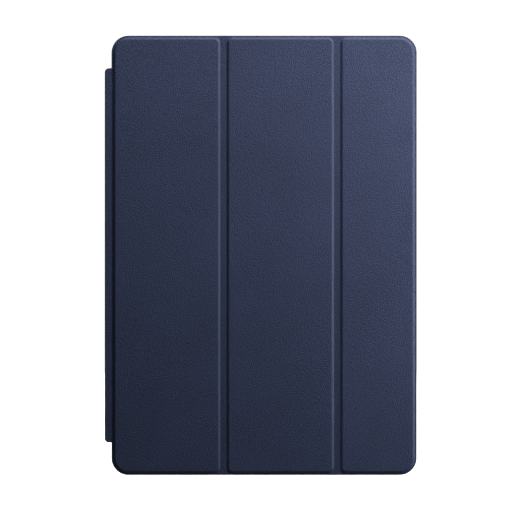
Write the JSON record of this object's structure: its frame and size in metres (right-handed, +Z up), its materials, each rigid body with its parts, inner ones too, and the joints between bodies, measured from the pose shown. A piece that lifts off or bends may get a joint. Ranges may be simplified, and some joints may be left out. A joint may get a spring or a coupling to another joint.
{
  "type": "tri-fold tablet cover",
  "caption": "Folding leather cover for a tablet, with a magnetic spine along one long side, stiffened panels, soft folds between them and a microfibre lining",
  "frame": {"origin": "centre of the spine's magnetic face, on the long side face of the tablet it is made for", "axes": "+X from the spine across the cover to its free edge, +Y from the leather front to the lining and the tablet, +Z up along the spine"},
  "size_m": [0.178, 0.0071, 0.2506],
  "materials": {
    "leather": "fine grain, satin",
    "microfibre_lining": "napped",
    "glass_fibre_board": "woven glass fibre and resin",
    "bonding_film": "satin",
    "tray_nylon": "moulded",
    "steel": "rolled",
    "magnet_nickel": "nickel plated"
  },
  "bodies": {
    "spine": {"spine_leather": "leather", "spine_lining": "microfibre_lining", "magnet_tray": "tray_nylon", "spine_magnets": "magnet_nickel", "spine_shunts": "steel", "knuckle_leather": "leather"},
    "hinge_strip": {"hinge_strip_leather": "leather", "hinge_strip_lining": "microfibre_lining", "crease_leather": "leather", "crease_lining": "microfibre_lining"},
    "panel_1": {"panel_1_leather": "leather", "panel_1_leather_film": "bonding_film", "panel_1_stiffener": "glass_fibre_board", "panel_1_lining_film": "bonding_film", "panel_1_lining": "microfibre_lining", "catch_plate": "steel", "fold_1_leather": "leather", "fold_1_lining": "microfibre_lining"},
    "panel_2": {"panel_2_leather": "leather", "panel_2_leather_film": "bonding_film", "panel_2_stiffener": "glass_fibre_board", "panel_2_lining_film": "bonding_film", "panel_2_lining": "microfibre_lining", "fold_2_leather": "leather", "fold_2_lining": "microfibre_lining"},
    "panel_3": {"panel_3_leather": "leather", "panel_3_leather_film": "bonding_film", "panel_3_stiffener": "glass_fibre_board", "panel_3_lining_film": "bonding_film", "panel_3_lining": "microfibre_lining", "edge_magnets": "magnet_nickel", "edge_magnet_shunts": "steel", "sleep_magnet": "magnet_nickel"}
  },
  "joints": [
    {"name": "strip_turn", "type": "hinge", "parent": "spine", "child": "hinge_strip", "pos_m": [-0.00343, -0.00293, 0], "axis": [0, 0, -1], "range_deg": [0, 210], "deforming": ["knuckle_leather"]},
    {"name": "cover_crease", "type": "hinge", "parent": "hinge_strip", "child": "panel_1", "pos_m": [0.0003, -0.00293, 0], "axis": [0, 0, -1], "range_deg": [0, 90], "deforming": ["crease_leather", "crease_lining"]},
    {"name": "first_fold", "type": "hinge", "parent": "panel_1", "child": "panel_2", "pos_m": [0.064, -0.00308, 0], "axis": [0, 0, 1], "range_deg": [-115, 135], "deforming": ["fold_1_leather", "fold_1_lining"]},
    {"name": "second_fold", "type": "hinge", "parent": "panel_2", "child": "panel_3", "pos_m": [0.12875, -0.00308, 0], "axis": [0, 0, 1], "range_deg": [-115, 115], "deforming": ["fold_2_leather", "fold_2_lining"]}
  ]
}
